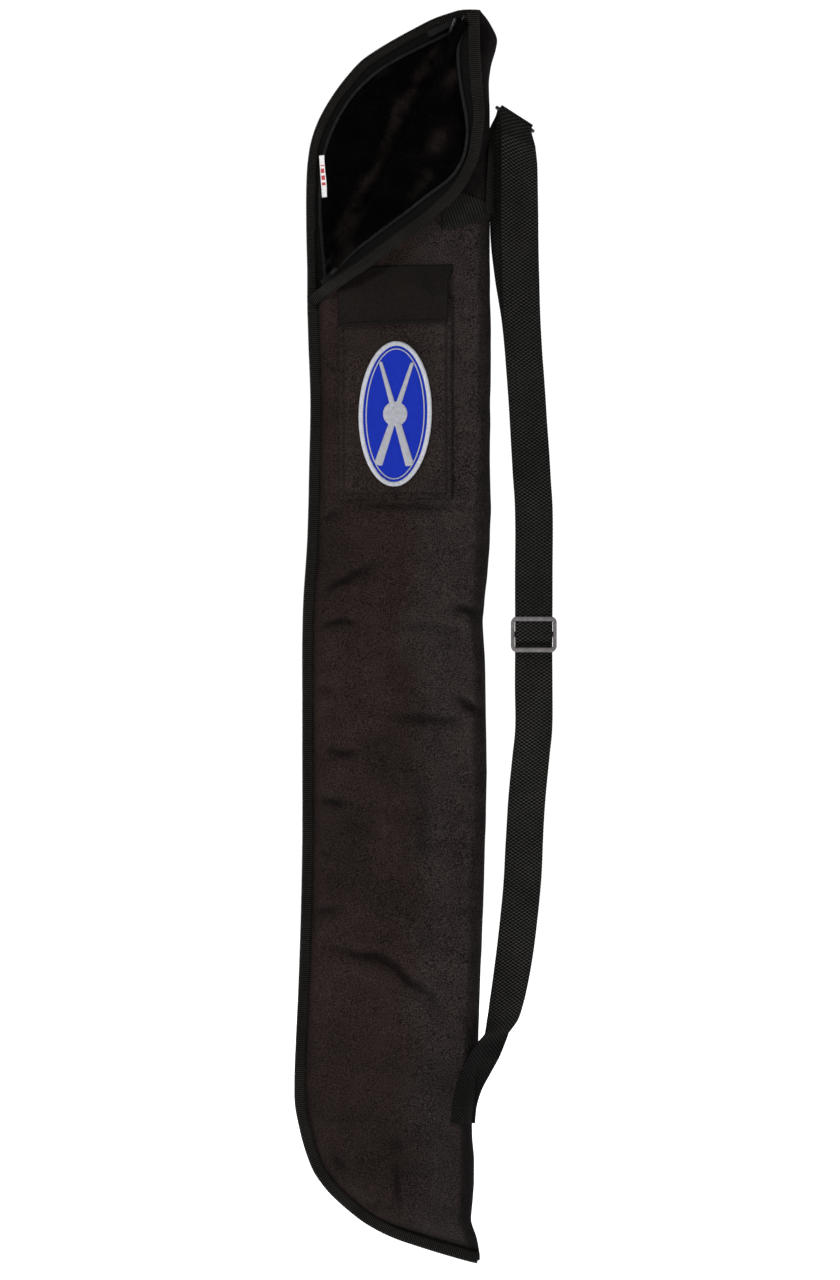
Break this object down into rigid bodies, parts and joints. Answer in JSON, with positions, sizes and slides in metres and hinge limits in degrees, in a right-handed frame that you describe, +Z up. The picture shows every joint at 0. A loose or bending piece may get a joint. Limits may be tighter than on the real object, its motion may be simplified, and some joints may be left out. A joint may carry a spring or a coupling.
{
  "type": "soft pool cue case",
  "caption": "Padded soft case for a two-piece pool cue: folded nylon sleeve with plush lining, zipped mouth with a turned-back corner, flap pocket, oval badge and adjustable shoulder strap.",
  "frame": {"origin": "on the flat outer face of the back panel, near its middle", "axes": "+Z up along the case to the mouth, the front faces -Y, +X towards the folded spine and the strap"},
  "size_m": [0.1752, 0.0278, 0.8386],
  "materials": {
    "nylon": "coarse plain-weave nylon, matte with a slight sheen",
    "foam": "closed-cell foam padding, matte",
    "plush": "short-pile plush, soft sheen on the pile",
    "binding": "ribbed grosgrain tape",
    "zipper_tape": "woven zipper tape",
    "zipper_coil": "moulded nylon coil, semi-matte",
    "zipper_metal": "black enamelled zinc, worn at the edges",
    "webbing": "ribbed polypropylene webbing",
    "plastic": "moulded acetal, satin, lightly scuffed",
    "label": "white printed satin ribbon",
    "badge_blue": "twill embroidered field",
    "badge_silver": "merrowed and satin-stitched thread",
    "hook": "hook and loop fastener"
  },
  "bodies": {
    "case": {"outer_shell": "nylon", "back_padding": "foam", "front_padding": "foam", "plush_lining": "plush", "edge_binding": "binding", "mouth_binding_back": "binding", "zipper_tape_back": "zipper_tape", "zipper_coil_back": "zipper_coil", "zipper_end_stop": "zipper_metal", "fold_shell": "nylon", "fold_padding": "foam", "fold_lining": "plush", "care_label": "label", "pocket_panel": "nylon", "pocket_flap_seam": "nylon", "pocket_loop_tape": "hook", "badge_field": "badge_blue", "badge_border": "badge_silver", "badge_emblem": "badge_silver", "upper_anchor_tab": "webbing", "lower_anchor_tab": "webbing"},
    "mouth_corner": {"flap_shell": "nylon", "flap_padding": "foam", "flap_lining": "plush", "mouth_binding_flap": "binding", "zipper_tape_flap": "zipper_tape", "zipper_coil_flap": "zipper_coil"},
    "slider": {"zipper_slider": "zipper_metal"},
    "pull": {"zipper_pull": "zipper_metal"},
    "pocket_cover": {"pocket_flap": "nylon", "pocket_hook_tape": "hook"},
    "strap": {"shoulder_strap": "webbing", "strap_ring": "plastic"},
    "adjuster": {"strap_adjuster": "plastic"}
  },
  "joints": [
    {"name": "mouth_corner_fold", "type": "hinge", "parent": "case", "child": "mouth_corner", "pos_m": [-0.00343, -0.01765, 0.32216], "axis": [-0.4688, 0, -0.8833], "range_deg": [0, 179.5], "deforming": ["fold_shell", "fold_padding", "fold_lining"]},
    {"name": "zipper_travel", "type": "slide", "parent": "case", "child": "slider", "axis": [-0.8974, 0, -0.4412], "range_m": [0, 0.036]},
    {"name": "zipper_pull_swing", "type": "hinge", "parent": "slider", "child": "pull", "pos_m": [0.03923, -0.0059, 0.41114], "axis": [0, 1, 0], "range_deg": [0, 95]},
    {"name": "pocket_cover_lift", "type": "hinge", "parent": "case", "child": "pocket_cover", "pos_m": [0, -0.02095, 0.2274], "axis": [-1, 0, 0], "range_deg": [0, 90]},
    {"name": "strap_swing", "type": "hinge", "parent": "case", "child": "strap", "pos_m": [0.069, -0.0085, 0], "axis": [0, 0, 1], "range_deg": [-80, 80]},
    {"name": "adjuster_travel", "type": "slide", "parent": "strap", "child": "adjuster", "axis": [0, 0, 1], "range_m": [-0.048, 0.07]}
  ]
}
